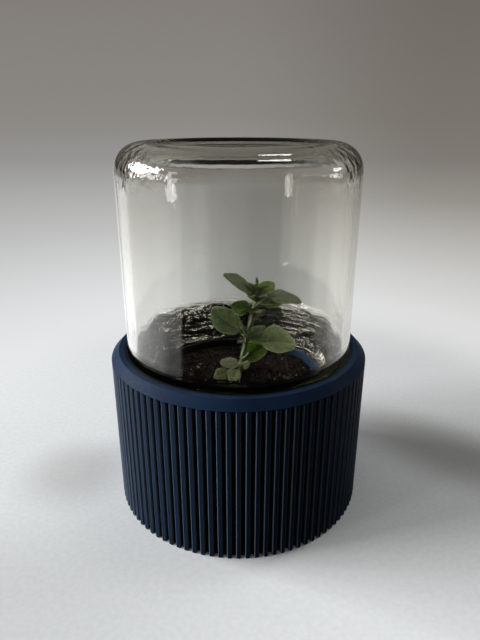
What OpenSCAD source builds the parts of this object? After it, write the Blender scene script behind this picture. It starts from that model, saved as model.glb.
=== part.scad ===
/* [Glass jar] */
// Outside diameter of the jar's straight body
jar_d = 91.5; // [89:0.5:96]
// Height of the jar from its mouth to the ring it would stand on
jar_h = 111.8; // [108:0.2:140]
// Wall of the jar's body
jar_wall = 2.75; // [2.2:0.05:3.4]
// Radius of the rounded heel, which is uppermost here
heel_r = 10; // [8:0.5:12]
// Depth of the hollow pushed up into the jar's bottom
push_up = 3.4; // [2.8:0.2:5]
// Glass thickness of the jar's bottom
jar_bottom_t = 3; // [2.4:0.2:4]
// Width of the ring between the heel and the push-up
stand_ring_w = 2; // [1.5:0.5:4]
// Width of the slope at the push-up's edge
push_slope_w = 4; // [3:0.5:6]
// Depth of that slope
push_slope_h = 2.2; // [1.6:0.1:2.6]
// How far the shoulder goes in from the body to the neck
shoulder_w = 4.05; // [3:0.05:5]
// Wall of the jar's neck, without its thread
neck_wall = 3.5; // [3:0.1:4.4]
// How far the bead stands out of the neck
bead_out = 1.3; // [0.8:0.1:1.6]
// Height of the bead
bead_h = 2.4; // [2:0.1:3]
// Distance from the mouth to the shoulder
neck_h = 19.6; // [18:0.1:22]
// Height of the shoulder
shoulder_h = 12; // [10:0.5:15]
// Rounding of the mouth's lip
lip_r = 1.2; // [0.8:0.1:1.5]

/* [Base] */
// Height of the base
base_h = 66.4; // [60:0.2:76]
// Clearance between the jar or the cup's flange and the base's bore
socket_gap = 0.3; // [0.2:0.05:0.6]
// Width of the flat ring on top of the base
rim_w = 3.4; // [2.4:0.2:5]
// Width of the slope outside that ring
slope_w = 3.05; // [2.4:0.05:4]
// Height of that slope
slope_h = 3.2; // [2.4:0.1:4]
// Number of upright ribs round the base
rib_count = 96; // [72:4:108]
// Width of a rib
rib_w = 1.75; // [1.4:0.05:1.9]
// How far a rib stands out of the wall
rib_depth = 1.8; // [1.2:0.1:2.2]
// Rounding of a rib's outer edges
rib_edge_r = 0.4; // [0.2:0.05:0.6]
// Thickness of the base's floor
base_floor_t = 3; // [2:0.2:4]
// Depth of the bore from the rim to the ledge that carries the cup
socket_depth = 35; // [32:0.2:38]
// How far the ledge reaches in from the bore
ledge_w = 3.65; // [3:0.05:4.4]
// Thickness of the ledge at its inner edge
ledge_t = 2.4; // [2:0.2:4]

/* [Planting cup] */
// Thickness of the cup's flange, on which the jar's mouth stands
flange_t = 3; // [2.4:0.2:4]
// Clearance between the cup and the jar's mouth
cup_gap = 0.6; // [0.4:0.1:1]
// Wall of the cup
cup_wall = 1.6; // [1.2:0.1:2.2]
// Height of the cup's rim above the flange
cup_rim_h = 17.6; // [14:0.2:20]
// How far the cup's wall leans in from flange to floor
cup_lean_w = 3; // [1:0.5:5]
// Thickness of the cup's floor
cup_floor_t = 2; // [1.6:0.2:3]
// Height of the drip space between the base's floor and the cup
drip_h = 6; // [5:0.5:9]
// Diameter of a drain hole
drain_d = 5; // [3:0.5:6]
// Number of drain holes round the middle one
drain_count = 6; // [4:1:8]

/* [Soil] */
// Depth of the soil's edge below the cup's rim
soil_drop = 3.4; // [2.6:0.2:6]
// Rise of the soil from its edge to its middle
soil_rise = 1; // [0.6:0.1:1.6]
// Clearance between the soil and the cup's wall
soil_gap = 0.1; // [0:0.05:0.3]
// Radius of the largest crumb
crumb_r = 2.2; // [1.6:0.1:2.6]
// Radius of the largest pale grain
grain_r = 0.9; // [0.6:0.1:1.2]

/* [Seedling] */
// Height of the stem above the soil
stem_h = 38; // [32:0.5:42]
// Depth of the root below the soil
root_h = 7; // [4:0.5:10]
// Diameter of the stem at the soil
stem_d = 2; // [1.4:0.1:2.6]
// Length of the largest leaf with its stalk
leaf_l = 21; // [17:0.5:22]
// Thickness of a leaf at its midrib
leaf_t = 0.6; // [0.4:0.05:0.8]
// Width of a leaf's stalk
stalk_w = 0.9; // [0.7:0.1:1.2]

/* [Hidden] */
$fn = 96;
// Overrun that lets a cut pass right through
over = 1;

// Heights above the surface that the base stands on
ledge_z = base_h - socket_depth;
mouth_z = ledge_z + flange_t;
cup_rim_z = mouth_z + cup_rim_h;
cup_floor_z = base_floor_t + drip_h;
soil_z = cup_rim_z - soil_drop;
soil_top_z = soil_z + soil_rise;

// Radii from the jar outwards and inwards
jar_r = jar_d / 2;
bore_r = jar_r + socket_gap;
rim_r = bore_r + rim_w;
base_r = rim_r + slope_w;
wall_r = base_r - rib_depth;
neck_r = jar_r - shoulder_w;
mouth_r = neck_r - neck_wall;
cup_r = mouth_r - cup_gap;
cup_floor_r = cup_r - cup_lean_w;
soil_r = cup_r - cup_wall - soil_gap;
soil_floor_r = soil_r - cup_lean_w;

// A round stretch of an outline, in degrees from one angle to the other
function bend(centre, r, from, to, steps) = [
  for (i = [0 : steps]) centre + r * [cos(from + (to - from) * i / steps), sin(from + (to - from) * i / steps)]
];

// An upright stretch that eases from one radius to another like an S
function ease_in(from, to, steps) = [
  for (i = [0 : steps]) [
    from[0] + (to[0] - from[0]) * (1 - cos(180 * i / steps)) / 2,
    from[1] + (to[1] - from[1]) * i / steps
  ]
];

// A level stretch that eases from one height to another like an S
function ease_up(from, to, steps) = [
  for (i = [0 : steps]) [
    from[0] + (to[0] - from[0]) * i / steps,
    from[1] + (to[1] - from[1]) * (1 - cos(180 * i / steps)) / 2
  ]
];

// The ribbed wall's outline: each rib stands square on the wall and has two rounded edges
function rib_outline() = [
  [-rib_w / 2, sqrt(pow(wall_r, 2) - pow(rib_w / 2, 2))],
  each bend([-rib_w / 2 + rib_edge_r, base_r - rib_edge_r], rib_edge_r, 180, 90, 3),
  each bend([rib_w / 2 - rib_edge_r, base_r - rib_edge_r], rib_edge_r, 90, 0, 3),
  [rib_w / 2, sqrt(pow(wall_r, 2) - pow(rib_w / 2, 2))]
];

function turned(point, angle) = [
  point[0] * cos(angle) + point[1] * sin(angle),
  point[1] * cos(angle) - point[0] * sin(angle)
];

ribbed_outline = [
  for (i = [0 : rib_count - 1])
    each [for (point = rib_outline()) turned(point, 360 * i / rib_count)]
];

module ribbed_base() {
  color("#22365c") {
    linear_extrude(base_h - slope_h) difference() {
      polygon(ribbed_outline);
      circle(bore_r);
    }
    rotate_extrude() polygon([
      [bore_r, base_h - slope_h],
      [base_r, base_h - slope_h],
      [rim_r, base_h],
      [bore_r, base_h]
    ]);
    cylinder(r = bore_r, h = base_floor_t);
    rotate_extrude() polygon([
      [bore_r, ledge_z],
      [bore_r - ledge_w, ledge_z],
      [bore_r - ledge_w, ledge_z - ledge_t],
      [bore_r, ledge_z - ledge_t - ledge_w]
    ]);
  }
}

module planting_cup() {
  color("#1d2f52") difference() {
    rotate_extrude() polygon([
      [0, cup_floor_z],
      [cup_floor_r, cup_floor_z],
      [cup_r, ledge_z],
      [jar_r, ledge_z],
      [jar_r, mouth_z],
      [cup_r, mouth_z],
      each bend([cup_r - cup_wall / 2, cup_rim_z - cup_wall / 2], cup_wall / 2, 0, 180, 6),
      [cup_r - cup_wall, ledge_z],
      [cup_floor_r - cup_wall, cup_floor_z + cup_floor_t],
      [0, cup_floor_z + cup_floor_t]
    ]);
    translate([0, 0, cup_floor_z - over]) {
      cylinder(d = drain_d, h = cup_floor_t + 2 * over);
      for (i = [0 : drain_count - 1])
        rotate(360 * i / drain_count)
          translate([cup_floor_r / 2, 0, 0])
            cylinder(d = drain_d, h = cup_floor_t + 2 * over);
    }
  }
}

// The jar's outside and inside, each as radius and height above the mouth
bead_top = neck_h - bead_h / 2;
shoulder_top = neck_h + shoulder_h;
inner_r = jar_r - jar_wall;
inner_heel_r = heel_r - jar_wall;
stand_r = jar_r - heel_r;
push_r = stand_r - stand_ring_w;
dome_r = push_r - push_slope_w;
floor_h = jar_h - jar_bottom_t;

// The push-up's dome, from the foot of its slope to the middle, where top is its ring's height
function dome(top) = [
  for (i = [5 : -1 : 0]) [dome_r * i / 6, top - push_up + (push_up - push_slope_h) * pow(i / 6, 2)]
];

// One side of the jar's bottom, from its level ring over the slope to the middle
function bottom(ring_r, top) = concat(ease_up([ring_r, top], [dome_r, top - push_slope_h], 8), dome(top));

function backwards(list) = [for (i = [len(list) - 1 : -1 : 0]) list[i]];

jar_outside = [
  each bend([neck_r - lip_r, lip_r], lip_r, -90, 0, 4),
  [neck_r, bead_top - bead_h],
  each bend([neck_r, bead_top - bead_h / 2], bead_out, -90, 90, 6),
  each ease_in([neck_r, neck_h], [jar_r, shoulder_top], 10),
  each bend([stand_r, jar_h - heel_r], heel_r, 0, 90, 10),
  each bottom(push_r, jar_h)
];

jar_inside = [
  each backwards(bottom(inner_r - inner_heel_r - stand_ring_w / 2, floor_h)),
  each bend([inner_r - inner_heel_r, floor_h - inner_heel_r], inner_heel_r, 90, 0, 8),
  each ease_in([inner_r, shoulder_top], [mouth_r, neck_h], 10),
  each bend([mouth_r + lip_r, lip_r], lip_r, 180, 270, 4)
];

module mason_jar() {
  color("#dfeaea", 0.35)
    translate([0, 0, mouth_z])
      rotate_extrude() polygon(concat(jar_outside, jar_inside));
}

// Crumbs of soil: radius share, angle, size share and sunk share of each
crumb_shares = [
  [0.86, 20, 0.60, 0.45], [0.80, 52, 1.00, 0.55], [0.74, 95, 0.70, 0.50],
  [0.84, 130, 0.85, 0.55], [0.60, 160, 0.75, 0.50], [0.82, 195, 0.90, 0.60],
  [0.50, 215, 0.60, 0.45], [0.78, 240, 0.80, 0.55], [0.66, 275, 1.00, 0.60],
  [0.84, 300, 0.70, 0.50], [0.52, 320, 0.80, 0.50], [0.74, 345, 0.90, 0.55]
];

// Pale grains: radius share, angle, size share
grain_shares = [
  [0.62, 352, 1.00], [0.70, 5, 0.80], [0.50, 340, 0.70], [0.56, 2, 0.60],
  [0.44, 300, 0.80], [0.52, 255, 0.70], [0.36, 282, 0.60], [0.60, 150, 0.80],
  [0.72, 170, 0.60], [0.40, 190, 0.60], [0.66, 222, 0.70], [0.72, 318, 0.90]
];

// Height of the soil's surface at a share of its radius
function soil_height(share) = soil_z + soil_rise * (1 + cos(180 * share)) / 2;

module potting_soil() {
  color("#241a13") {
    rotate_extrude() polygon([
      [0, cup_floor_z + cup_floor_t],
      [soil_floor_r, cup_floor_z + cup_floor_t],
      [soil_r, ledge_z],
      for (i = [0 : 8]) [soil_r * (1 - i / 8), soil_height(1 - i / 8)]
    ]);
    for (crumb = crumb_shares) {
      r = crumb_r * crumb[2];
      rotate(crumb[1])
        translate([(soil_r - crumb_r) * crumb[0], 0, soil_height(crumb[0]) - r * crumb[3]])
          sphere(r, $fn = 24);
    }
  }
}

module pale_grains() {
  color("#b9b0a0")
    for (grain = grain_shares)
      rotate(grain[1])
        translate([soil_r * grain[0], 0, soil_height(grain[0])])
          sphere(grain_r * grain[2], $fn = 24);
}

// The stem's way up: sideways share of its height at each height share
lean_shares = [
  [0, 0], [0.11, 0.009], [0.25, 0.038], [0.38, 0.071], [0.50, 0.107],
  [0.64, 0.139], [0.77, 0.166], [0.87, 0.187], [1, 0.205]
];
// Height shares at which the stem has a ring, and the stem's thickness share there
ring_shares = [
  [0, 1], [0.08, 0.95], [0.18, 0.82], [0.30, 0.78], [0.38, 0.95], [0.46, 0.74],
  [0.58, 0.70], [0.68, 0.88], [0.78, 0.66], [0.88, 0.56], [1, 0.36]
];
// Where the seedling stands, as shares of the soil's radius
plant_x_share = 0.012;
plant_y_share = 0.14;
plant_at = [soil_r * plant_x_share, soil_r * plant_y_share, soil_top_z];

function stem_at(share) = plant_at + stem_h * [lookup(share, lean_shares), 0, share];
function stem_r(share) = lookup(share, ring_shares) * stem_d / 2;

// Triangles across a ring, laid from side to side so that a folded ring is filled too
function end_cap(count) = [
  for (k = [0 : count / 2 - 2]) [k, k + 1, count - 1 - k],
  for (k = [1 : count / 2 - 1]) [k, count - 1 - k, count - k]
];

// A closed skin over rings that have the same number of points, from the first ring to the last
module skin(rings) {
  count = len(rings[0]);
  last = len(rings) - 1;
  polyhedron(
    points = [for (ring = rings) each ring],
    faces = [
      for (cap = end_cap(count)) cap,
      for (cap = end_cap(count)) [for (k = [2, 1, 0]) last * count + cap[k]],
      for (i = [0 : last - 1])
        for (k = [0 : count - 1])
          let (a = i * count + k, b = i * count + (k + 1) % count)
            each k < count / 2
              ? [[a, a + count, b], [b, a + count, b + count]]
              : [[a, a + count, b + count], [b, a, b + count]]
    ]
  );
}

module seedling_stem() {
  function ring(at, r) = [for (k = [0 : 7]) at + r * [cos(45 * k), sin(45 * k), 0]];
  color("#7d8160")
    skin([
      ring(plant_at - [0, 0, root_h], stem_d / 8),
      ring(plant_at - [0, 0, root_h / 2], stem_d / 3),
      for (share = ring_shares) ring(stem_at(share[0]), stem_r(share[0]))
    ]);
}

// Leaves from the top down: height share on the stem, then the leaf's length share,
// its width, stalk and droop as shares of its own length
leaf_shares = [
  [0.99, 0.27, 0.46, 0.04, 0.00],
  [0.96, 0.50, 0.56, 0.10, 0.12],
  [0.94, 0.30, 0.46, 0.08, 0.00],
  [0.89, 0.81, 0.75, 0.09, 0.10],
  [0.91, 0.87, 0.74, 0.17, 0.12],
  [0.85, 0.24, 0.36, 0.14, -0.06],
  [0.79, 0.46, 0.38, 0.18, 0.02],
  [0.80, 0.63, 0.28, 0.27, 0.06],
  [0.77, 0.50, 0.80, 0.16, 0.02],
  [0.66, 0.29, 0.69, 0.03, 0.04],
  [0.42, 0.91, 0.57, 0.23, 0.04],
  [0.34, 1.01, 0.82, 0.32, 0.23],
  [0.40, 0.54, 0.51, 0.10, 0.05],
  [0.44, 0.32, 0.46, 0.08, 0.00],
  [0.12, 0.68, 0.68, 0.12, 0.05],
  [0.03, 0.32, 0.54, 0.04, 0.03],
  [0.08, 0.39, 0.73, 0.17, 0.02],
  [0.10, 0.62, 0.37, 0.52, -0.01],
  [0.08, 0.49, 0.57, 0.27, 0.01]
];

// The same leaves: name, and the angles of direction, rise, roll and fold in degrees
leaves = [
  ["tip_leaf", 94, 46, 55, 20],
  ["top_right_leaf", 46, 14, 44, 10],
  ["top_left_leaf", 216, 58, -60, 20],
  ["upper_left_leaf", 193, 42, -17, 12],
  ["upper_right_leaf", 1, 0, -1, 10],
  ["bud_leaf", 275, 44, -5, 24],
  ["bud_side_leaf", -48, 42, -78, 20],
  ["pale_right_leaf", 12, 3, 114, 8],
  ["middle_left_leaf", 193, 16, -111, 14],
  ["node_leaf", -12, 37, 30, 15],
  ["large_left_leaf", 168, 39, -87, 6],
  ["large_right_leaf", 1, 10, 21, 18],
  ["back_right_leaf", 40, 15, 48, 8],
  ["axil_leaf", 225, 62, 5, 20],
  ["lower_right_leaf", 19, 37, 84, 8],
  ["front_seed_leaf", -38, 44, 110, 5],
  ["low_left_leaf", 167, 7, -25, 8],
  ["left_seed_leaf", 219, -8, -43, 6],
  ["right_seed_leaf", 246, -11, -18, 6]
];

// How full and how blunt a leaf is: a smaller share makes a blunter outline
blunt_share = 0.56;
// How far the widest place lies towards the tip: a smaller share moves it to the stalk
belly_share = 0.88;

// Half the width of a leaf at a share of its length, from stalk to blunt tip
function half_width(share, stalk_share, width) =
  let (s = max(0, (share - stalk_share) / (1 - stalk_share)))
    max(s > 0.5 ? leaf_t / 2 : stalk_w / 2, width / 2 * pow(sin(180 * pow(s, belly_share)), blunt_share));

// One ring round the leaf: folded up along the midrib, and thinner towards its edges
function leaf_ring(x, half, fold, drop) = [
  for (v = [1, 0.5, 0, -0.5, -1]) [x, half * v, half * abs(v) * tan(fold) - drop],
  for (v = [-0.5, 0, 0.5]) [x, half * v, half * abs(v) * tan(fold) - drop - leaf_t * (1 - abs(v) / 2)]
];

module leaf(k) {
  length = leaf_l * leaf_shares[k][1];
  width = length * leaf_shares[k][2];
  stalk_share = leaf_shares[k][3];
  drop = length * leaf_shares[k][4];
  steps = 9;
  color("#4f6238")
    translate(stem_at(leaf_shares[k][0]))
      rotate([leaves[k][3], -leaves[k][2], leaves[k][1]])
        translate([stem_r(leaf_shares[k][0]) * 0.6, 0, 0])
        skin([
          for (i = [0 : steps])
            let (share = i / steps)
              leaf_ring(length * share, half_width(share, stalk_share, width), leaves[k][4], drop * pow(share, 2))
        ]);
}

ribbed_base();
planting_cup();
mason_jar();
potting_soil();
pale_grains();
seedling_stem();
for (k = [0 : len(leaves) - 1])
  leaf(k);
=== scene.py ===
"""A mason jar greenhouse: an upturned glass jar over a planting cup in a ribbed, printed base.

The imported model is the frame. The base and the planting cup keep its solids. The glass, the
soil, the grit and the seedling are made again here with the detail that a close look asks for.
Lengths are written in millimetres, and MM turns them to metres.
"""

import math

import bpy
import numpy as np
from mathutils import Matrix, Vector


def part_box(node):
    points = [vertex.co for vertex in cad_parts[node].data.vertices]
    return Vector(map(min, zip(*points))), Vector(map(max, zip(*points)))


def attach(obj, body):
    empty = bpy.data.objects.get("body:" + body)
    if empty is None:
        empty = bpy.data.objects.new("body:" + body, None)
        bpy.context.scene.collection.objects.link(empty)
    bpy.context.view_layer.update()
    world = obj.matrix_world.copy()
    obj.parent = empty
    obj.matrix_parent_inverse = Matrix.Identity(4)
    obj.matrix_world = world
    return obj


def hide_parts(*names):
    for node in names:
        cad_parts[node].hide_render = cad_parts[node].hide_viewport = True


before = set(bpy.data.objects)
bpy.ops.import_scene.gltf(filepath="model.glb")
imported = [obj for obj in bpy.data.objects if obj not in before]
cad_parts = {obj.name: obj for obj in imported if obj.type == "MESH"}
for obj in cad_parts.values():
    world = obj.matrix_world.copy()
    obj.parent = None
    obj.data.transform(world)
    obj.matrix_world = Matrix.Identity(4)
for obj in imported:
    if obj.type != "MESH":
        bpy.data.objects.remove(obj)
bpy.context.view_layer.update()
MM = 0.001
rng = np.random.default_rng(12)


def corner(node, which, axis):
    """One side of a CAD node's box in millimetres: which is 0 for the low side and 1 for the high."""
    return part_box(node)[which][axis] / MM


# Sizes that the frame gives
base_h = corner("ribbed_base", 1, 2)
jar_r = corner("mason_jar", 1, 0)
mouth_z = corner("mason_jar", 0, 2)
jar_h = corner("mason_jar", 1, 2) - mouth_z
soil_floor_z = corner("potting_soil", 0, 2)
soil_r = corner("potting_soil", 1, 0)

# Sizes of the jar
jar_wall = 2.75
heel_r = 10
# By how much the heel's radius is smaller inside
inner_heel_less = 1.9
push_up = 3.4
jar_bottom_t = 3
stand_ring_w = 2
push_slope_w = 4
push_slope_h = 2.2
neck_r = 41.7
mouth_r = 38.2
bead_out = 1.3
bead_h = 2.4
neck_h = 19.6
shoulder_h = 12
lip_r = 1.2
# Heights above the mouth between which its two sides turn in, and by how much. The solid has one
# gentle turn; these are sharper, as the bright rings behind the plant show
outer_turn = (28.4, 36)
outer_turn_w = 2.85
inner_turn = (30.6, 34)
inner_turn_w = 2.6
inner_step = (18.3, 20.5)
inner_step_w = 1.4
thread_h = 1.3
thread_w = 1.5
thread_pitch = 5
thread_start_h = 4.4
thread_turns = 1.35
# The tallest of the glass's waves, on its inside and its outside
inner_wave = 0.14
outer_wave = 0.06

# Upright ribs round the base, counted on its visible front and taken all round
rib_count = 96
# The ribs end this far below the base's top, and their colours fade out above that
rim_h = 3.9
rim_fade = 0.6
# Radii of the base within which it is darker, and how far out that fades
groove_r = 51.1
groove_fade = 1.1
bore_r = 46.6
bore_fade = 1.3

# Sizes of the soil and the seedling
soil_z = 48.6
soil_rise = 1
soil_taper = 3
soil_step_z = 31.4
crumb_r = 2.2
grain_r = 0.9
stem_h = 38
root_h = 7
stem_d = 2
leaf_l = 21
leaf_t = 0.6
stalk_w = 0.9
hair_r = 0.035
# Side veins to a leaf's length, and how far they sweep forward to its edge
vein_count = 5.2
vein_sweep = 1.15
plant_at = np.array([soil_r * 0.012, soil_r * 0.14, soil_z + soil_rise])


def linear(hex_text):
    """An sRGB hex colour as linear red, green, blue and alpha."""
    parts = [int(hex_text[i : i + 2], 16) / 255 for i in (1, 3, 5)]
    return (*[p / 12.92 if p <= 0.04045 else ((p + 0.055) / 1.055) ** 2.4 for p in parts], 1.0)


def add(tree, kind, settings=None, links=None):
    """Adds a node. A setting goes to the attribute of that name, or else to that input."""
    made = tree.nodes.new(kind)
    for key, value in (settings or {}).items():
        if isinstance(key, str) and hasattr(made, key):
            setattr(made, key, value)
        else:
            made.inputs[key].default_value = value
    for key, source in (links or {}).items():
        tree.links.new(source, made.inputs[key])
    return made


def ramp(tree, source, stops):
    """A colour ramp over source, with (position, hex colour) stops, and its colour output."""
    made = add(tree, "ShaderNodeValToRGB", links={"Fac": source})
    band = made.color_ramp
    for place, (position, hex_text) in enumerate(stops):
        stop = band.elements[place] if place < 2 else band.elements.new(position)
        stop.position = position
        stop.color = linear(hex_text)
    return made.outputs["Color"]


def blend(tree, share, first, second, how="MIX"):
    """Two colours mixed by a share, which is a number or a socket, and the mixed colour."""
    made = add(tree, "ShaderNodeMix", {"data_type": "RGBA", "blend_type": how})
    for place, value in ((0, share), (6, first), (7, second)):
        if isinstance(value, bpy.types.NodeSocket):
            tree.links.new(value, made.inputs[place])
        else:
            made.inputs[place].default_value = linear(value) if isinstance(value, str) else value
    return made.outputs[2]


def sums(tree, operation, *sides):
    """A Math node's value. Each side is a number or a socket."""
    made = add(tree, "ShaderNodeMath", {"operation": operation})
    for place, value in enumerate(sides):
        if isinstance(value, bpy.types.NodeSocket):
            tree.links.new(value, made.inputs[place])
        else:
            made.inputs[place].default_value = value
    return made.outputs[0]


def span(tree, source, low, high, to_low=0.0, to_high=1.0):
    """source carried smoothly from low..high to to_low..to_high."""
    settings = {"interpolation_type": "SMOOTHSTEP", 1: low, 2: high, 3: to_low, 4: to_high}
    return add(tree, "ShaderNodeMapRange", settings, {0: source}).outputs[0]


def from_axis(tree, place):
    """How far a place is from the upright axis, in metres."""
    level = add(tree, "ShaderNodeVectorMath", {"operation": "MULTIPLY", 1: (1, 1, 0)}, {0: place})
    return add(tree, "ShaderNodeVectorMath", {"operation": "LENGTH"}, {0: level.outputs[0]}).outputs["Value"]


def new_material(name):
    """A material with its tree, its Principled shader and the place on the piece."""
    material = bpy.data.materials.new(name)
    material.use_nodes = True
    tree = material.node_tree
    place = add(tree, "ShaderNodeTexCoord").outputs["Object"]
    return material, tree, tree.nodes["Principled BSDF"], place


def tube_faces(count, around):
    """Corners and sizes of the faces over count rings of points, with a fan at each end.

    The two end points follow those of the rings.
    """
    row, column = np.meshgrid(np.arange(count - 1), np.arange(around), indexing="ij")
    a = row * around + column
    b = row * around + (column + 1) % around
    quads = np.stack([a, b, b + around, a + around], axis=-1).reshape(-1, 4)
    turn = np.arange(around)
    after = (turn + 1) % around
    top = (count - 1) * around
    start_cap = np.stack([np.full(around, count * around), after, turn], axis=-1)
    end_cap = np.stack([np.full(around, count * around + 1), top + turn, top + after], axis=-1)
    corners = np.concatenate([quads.ravel(), start_cap.ravel(), end_cap.ravel()])
    sides = np.concatenate([np.full(len(quads), 4), np.full(2 * around, 3)])
    return corners, sides


def skin(name, rings, first=None, last=None, shares=None):
    """A closed surface over rings of points, with a point at each end.

    rings is an array of rings by points by 3, in millimetres. The points of a ring run
    anticlockwise as seen from where the rings go, so that the faces point outwards. shares,
    of the same rings by points by 2, becomes the piece's UV map.
    """
    count, around = rings.shape[:2]
    ends = np.array([rings[0].mean(axis=0) if first is None else first])
    ends = np.vstack([ends, rings[-1].mean(axis=0) if last is None else last])
    points = np.vstack([rings.reshape(-1, 3), ends]) * MM
    corners, sides = tube_faces(count, around)
    return mesh_piece(name, points, corners, sides, shares_of_points(shares, count, around))


def shares_of_points(shares, count, around):
    """The UV shares of every point of a skin, with the two end points at its first and last share."""
    if shares is None:
        return None
    ends = np.array([[0.0, 0.5], [1.0, 0.5]])
    return np.vstack([shares.reshape(count * around, 2), ends])


def mesh_piece(name, points, corners, sides, shares=None):
    """A smooth mesh object from whole arrays of points, face corners and face sizes."""
    mesh = bpy.data.meshes.new(name)
    mesh.vertices.add(len(points))
    mesh.vertices.foreach_set("co", points.astype(np.float32).ravel())
    mesh.loops.add(len(corners))
    mesh.loops.foreach_set("vertex_index", corners.astype(np.int32))
    mesh.polygons.add(len(sides))
    starts = np.concatenate([[0], np.cumsum(sides)[:-1]]).astype(np.int32)
    mesh.polygons.foreach_set("loop_start", starts)
    mesh.update(calc_edges=True)
    mesh.validate()
    mesh.shade_smooth()
    if shares is not None:
        layer = mesh.uv_layers.new(name="Shares")
        layer.data.foreach_set("uv", shares[corners].astype(np.float32).ravel())
    piece = bpy.data.objects.new(name, mesh)
    bpy.context.collection.objects.link(piece)
    return piece


def arc(centre, r, start, end, steps):
    """Points on a round stretch of a profile, in degrees from start to end."""
    turn = np.radians(np.linspace(start, end, steps + 1))
    return np.stack([centre[0] + r * np.cos(turn), centre[1] + r * np.sin(turn)], axis=-1)


def straight(start, end, steps):
    """Points along a straight stretch, without its end."""
    share = np.linspace(0, 1, steps + 1)[:-1, None]
    return np.array(start) * (1 - share) + np.array(end) * share


def eased(start, end, steps):
    """An upright stretch whose radius goes over from one to the other like half a cosine."""
    share = np.linspace(0, 1, steps + 1)
    radius = start[0] + (end[0] - start[0]) * (1 - np.cos(np.pi * share)) / 2
    return np.stack([radius, start[1] + (end[1] - start[1]) * share], axis=-1)


def pushed_up(ring_r, top):
    """One side of the jar's bottom, from its level ring to near the middle.

    The height falls over the slope like half a cosine, then goes up the dome as the square of
    the radius.
    """
    dome_r = jar_r - heel_r - stand_ring_w - push_slope_w
    share = np.linspace(0, 1, 19)[:-1, None]
    slope = [ring_r + (dome_r - ring_r) * share, top - push_slope_h * (1 - np.cos(np.pi * share)) / 2]
    dish = np.linspace(1, 0.03, 24)[:, None]
    return np.vstack([
        np.hstack(slope),
        np.hstack([dome_r * dish, top - push_up + (push_up - push_slope_h) * dish**2]),
    ])


def waves(angle, height, count, tallest, spread):
    """Uneven glass: a sum of count waves with random turns, drawn out along the height."""
    total = np.zeros(np.broadcast(angle, height).shape)
    for lobe in rng.integers(2, spread, count):
        start, lean, slow = rng.uniform(0, 2 * np.pi), rng.uniform(-0.012, 0.012), rng.uniform(20, 45)
        swell = 1 + 0.5 * np.sin(height / slow + rng.uniform(0, 2 * np.pi))
        total += np.cos(lobe * angle + lean * height + start) * swell * rng.uniform(0.4, 1) / lobe**0.5
    return tallest * total / np.abs(total).max()


def glass_jar():
    """The jar as one skin, from the middle of its inner floor, down inside, round the lip and up outside.

    A profile of radius and height above the mouth is carried round the axis. The neck's outside
    rises by a rounded ridge along a helix, which is the screw thread, and both sides of the wall
    swell by low waves, as pressed glass does.
    """
    inner_r = jar_r - jar_wall
    inner_heel_r = heel_r - inner_heel_less
    floor_h = jar_h - jar_bottom_t
    stand_r = jar_r - heel_r
    turned_r = inner_r - inner_turn_w
    bead_mid = neck_h - bead_h
    inside = np.vstack([
        pushed_up(stand_r - stand_ring_w / 2, floor_h)[::-1],
        arc((inner_r - inner_heel_r, floor_h - inner_heel_r), inner_heel_r, 90, 0, 14),
        straight((inner_r, floor_h - inner_heel_r - 1), (inner_r, inner_turn[1]), 44),
        eased((inner_r, inner_turn[1]), (turned_r, inner_turn[0]), 18),
        eased((turned_r, inner_turn[0]), (mouth_r + inner_step_w, inner_step[1]), 10)[1:-1],
        eased((mouth_r + inner_step_w, inner_step[1]), (mouth_r, inner_step[0]), 14),
        straight((mouth_r, inner_step[0] - 0.8), (mouth_r, lip_r + 0.6), 12),
        arc((mouth_r + lip_r, lip_r), lip_r, 180, 270, 5),
    ])
    outside = np.vstack([
        arc((neck_r - lip_r, lip_r), lip_r, -90, 0, 5),
        straight((neck_r, lip_r + 0.3), (neck_r, bead_mid - bead_h / 2), 40),
        arc((neck_r, bead_mid), bead_h / 2, -90, 90, 8) * [0, 1]
        + arc((neck_r, bead_mid), bead_out, -90, 90, 8) * [1, 0],
        eased((neck_r, neck_h), (jar_r - outer_turn_w, outer_turn[0]), 10),
        eased((jar_r - outer_turn_w, outer_turn[0]), (jar_r, outer_turn[1]), 24)[1:],
        straight((jar_r, outer_turn[1] + 1), (jar_r, jar_h - heel_r - 0.5), 46),
        arc((stand_r, jar_h - heel_r), heel_r, 0, 90, 20),
        pushed_up(stand_r - stand_ring_w, jar_h),
    ])
    around = 288
    angle = np.linspace(0, 2 * np.pi, around, endpoint=False)
    profile = np.vstack([inside, outside])
    radius = np.repeat(profile[:, :1], around, axis=1)
    height = np.repeat(profile[:, 1:], around, axis=1)
    body = np.clip((height - neck_h) / shoulder_h, 0, 1) * np.clip((jar_h - 3 - height) / heel_r, 0, 1)
    half = len(inside)
    radius[:half] += body[:half] * waves(angle, height[:half], 16, inner_wave, 26)
    radius[half:] += body[half:] * waves(angle, height[half:], 12, outer_wave, 14)
    radius[half:] = np.minimum(radius[half:], jar_r)
    turns = angle / (2 * np.pi)
    for lap in (0, 1):
        along = turns + lap
        strength = np.clip(along / 0.06, 0, 1) * np.clip((thread_turns - along) / 0.06, 0, 1)
        away = (height - thread_start_h - thread_pitch * along) / thread_w
        radius[half:] += (thread_h * strength * np.exp(-(away**4)))[half:] * (height[half:] < neck_h)
    rings = np.stack([radius * np.cos(angle), radius * np.sin(angle), mouth_z + height], axis=-1)
    return skin(
        "jar_of_glass", rings, (0, 0, mouth_z + floor_h - push_up), (0, 0, mouth_z + jar_h - push_up)
    )


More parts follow.
